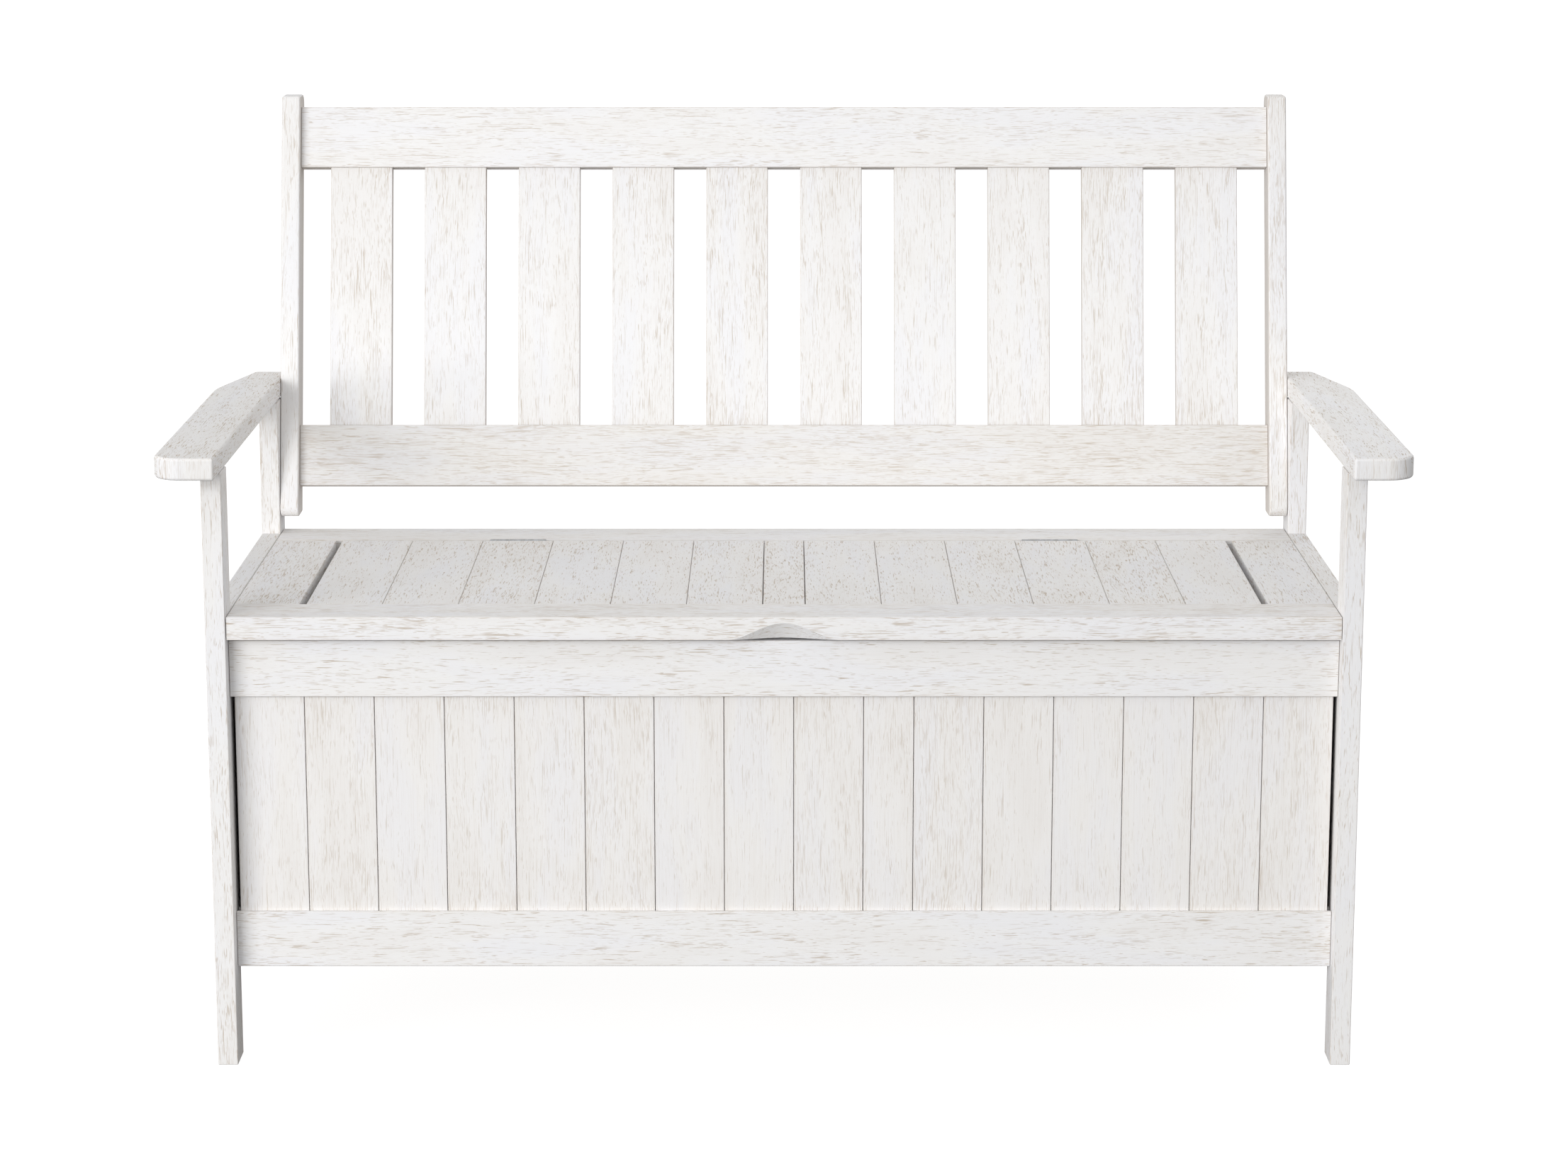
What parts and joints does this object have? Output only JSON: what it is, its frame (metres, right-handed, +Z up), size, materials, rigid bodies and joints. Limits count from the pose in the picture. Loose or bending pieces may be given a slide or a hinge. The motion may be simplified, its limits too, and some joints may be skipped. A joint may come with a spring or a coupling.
{
  "type": "storage bench",
  "caption": "Slatted bench with armrests and a leaning back; the boarded seat is a lid hinged at the rear, over a storage box with boarded panels.",
  "frame": {"origin": "on the floor, under the middle of the bench's overall width and depth", "axes": "+Z up, +X along the bench's width (to the right when seen from the front), +Y towards the back; the front faces -Y"},
  "size_m": [1.217, 0.6184, 0.924],
  "materials": {
    "washed_wood": "brushed softwood under a thin, worn white wash",
    "plain_wood": "bare sanded softwood inside the box",
    "hinge_steel": "satin zinc-plated steel"
  },
  "bodies": {
    "frame": {"front_post_left": "washed_wood", "front_post_right": "washed_wood", "rear_post_left": "washed_wood", "rear_post_right": "washed_wood", "armrest_left": "washed_wood", "armrest_right": "washed_wood", "front_top_rail": "washed_wood", "front_bottom_rail": "washed_wood", "front_panel": "washed_wood", "rear_top_rail": "washed_wood", "rear_bottom_rail": "washed_wood", "rear_panel": "washed_wood", "left_top_rail": "washed_wood", "left_bottom_rail": "washed_wood", "left_panel": "washed_wood", "right_top_rail": "washed_wood", "right_bottom_rail": "washed_wood", "right_panel": "washed_wood", "floor_panel": "plain_wood", "floor_cleat_front": "plain_wood", "floor_cleat_rear": "plain_wood", "seat_rear_rail": "washed_wood", "hinge_fixed_leaf_left": "hinge_steel", "hinge_fixed_leaf_right": "hinge_steel", "hinge_pin_left": "hinge_steel", "hinge_pin_right": "hinge_steel", "back_stile_left": "washed_wood", "back_stile_right": "washed_wood", "back_top_rail": "washed_wood", "back_bottom_rail": "washed_wood", "back_slat_1": "washed_wood", "back_slat_2": "washed_wood", "back_slat_3": "washed_wood", "back_slat_4": "washed_wood", "back_slat_5": "washed_wood", "back_slat_6": "washed_wood", "back_slat_7": "washed_wood", "back_slat_8": "washed_wood", "back_slat_9": "washed_wood", "back_slat_10": "washed_wood"},
    "lid": {"lid_front_rail": "washed_wood", "lid_board_middle": "washed_wood", "lid_board_left_1": "washed_wood", "lid_board_left_2": "washed_wood", "lid_board_left_3": "washed_wood", "lid_board_left_4": "washed_wood", "lid_board_left_5": "washed_wood", "lid_board_left_6": "washed_wood", "lid_board_right_1": "washed_wood", "lid_board_right_2": "washed_wood", "lid_board_right_3": "washed_wood", "lid_board_right_4": "washed_wood", "lid_board_right_5": "washed_wood", "lid_board_right_6": "washed_wood", "lid_end_board_left": "washed_wood", "lid_end_board_right": "washed_wood", "lid_batten_front": "washed_wood", "lid_batten_rear": "washed_wood", "hinge_lid_leaf_left": "hinge_steel", "hinge_lid_leaf_right": "hinge_steel"}
  },
  "joints": [
    {"name": "lid_hinge", "type": "hinge", "parent": "frame", "child": "lid", "pos_m": [0, 0.12702, 0.4585], "axis": [-1, 0, 0], "range_deg": [0, 105]}
  ]
}
